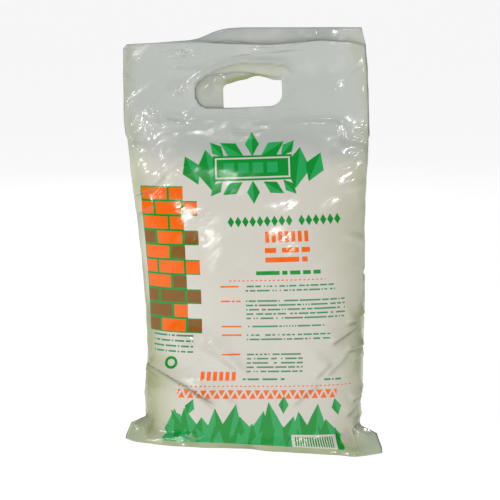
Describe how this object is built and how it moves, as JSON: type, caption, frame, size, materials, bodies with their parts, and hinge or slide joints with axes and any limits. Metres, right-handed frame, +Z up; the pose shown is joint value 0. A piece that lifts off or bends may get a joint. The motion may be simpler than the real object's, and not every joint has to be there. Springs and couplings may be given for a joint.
{
  "type": "cement bag",
  "caption": "Small plastic film carrier bag filled with white cement, standing on its base, with a die-cut hand hole in the empty film at the top.",
  "frame": {"origin": "middle of the bounding box, on the floor that the bag stands on", "axes": "+Z up, the printed front faces -Y, +X is to the right as seen from the front"},
  "size_m": [0.2362, 0.0798, 0.3935],
  "materials": {
    "printed_film": "milky polyethylene film with a green, orange and brown print",
    "white_cement": "matt white powder"
  },
  "bodies": {
    "root": {"film_bag": "printed_film", "cement_fill": "white_cement"}
  },
  "joints": []
}
